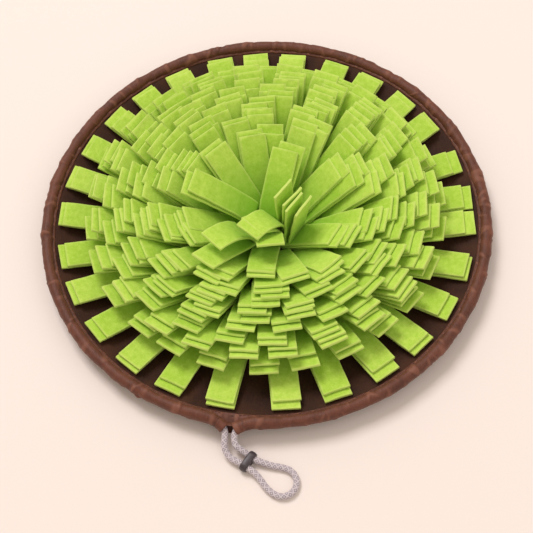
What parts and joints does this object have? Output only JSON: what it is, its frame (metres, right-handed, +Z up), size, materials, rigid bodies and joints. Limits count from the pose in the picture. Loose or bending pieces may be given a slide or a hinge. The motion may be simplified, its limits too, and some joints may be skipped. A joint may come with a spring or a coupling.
{
  "type": "snuffle mat",
  "caption": "Round cloth snuffle mat for a pet: folded felt strips sewn in rings on a dished base, with a gathered edge casing and a drawcord held by a toggle.",
  "frame": {"origin": "middle of the flat underside of the base cloth, on the floor", "axes": "+Z up, -Y towards the side with the drawcord, +X to the right seen from there"},
  "size_m": [0.4497, 0.5112, 0.0799],
  "materials": {
    "lime_felt": "thick lime green felt, matt, fine mottled fibre, clean cut edges a little paler",
    "base_cloth": "dark brown plain woven cloth, matt with a faint sheen",
    "casing_cloth": "reddish brown light woven cloth, soft sheen, gathered into small puckers",
    "cord_braid": "pale lilac grey braided cord with darker flecks",
    "toggle_plastic": "charcoal moulded plastic, satin"
  },
  "bodies": {
    "root": {"base_mat": "base_cloth", "rim_casing": "casing_cloth", "felt_outer_01": "lime_felt", "felt_outer_02": "lime_felt", "felt_outer_03": "lime_felt", "felt_outer_04": "lime_felt", "felt_outer_05": "lime_felt", "felt_outer_06": "lime_felt", "felt_outer_07": "lime_felt", "felt_outer_08": "lime_felt", "felt_outer_09": "lime_felt", "felt_outer_10": "lime_felt", "felt_outer_11": "lime_felt", "felt_outer_12": "lime_felt", "felt_outer_13": "lime_felt", "felt_outer_14": "lime_felt", "felt_outer_15": "lime_felt", "felt_outer_16": "lime_felt", "felt_outer_17": "lime_felt", "felt_outer_18": "lime_felt", "felt_outer_19": "lime_felt", "felt_outer_20": "lime_felt", "felt_outer_21": "lime_felt", "felt_outer_22": "lime_felt", "felt_outer_23": "lime_felt", "felt_outer_24": "lime_felt", "felt_outer_25": "lime_felt", "felt_outer_26": "lime_felt", "felt_outer_27": "lime_felt", "felt_outer_28": "lime_felt", "felt_ring_2": "lime_felt", "felt_ring_3": "lime_felt", "felt_ring_4": "lime_felt", "felt_ring_5": "lime_felt", "felt_ring_6": "lime_felt", "felt_middle_1": "lime_felt", "felt_middle_2": "lime_felt", "felt_middle_3": "lime_felt", "felt_middle_4": "lime_felt", "felt_middle_5": "lime_felt", "felt_middle_6": "lime_felt", "felt_middle_7": "lime_felt", "felt_middle_8": "lime_felt", "drawcord": "cord_braid", "cord_toggle": "toggle_plastic"}
  },
  "joints": []
}
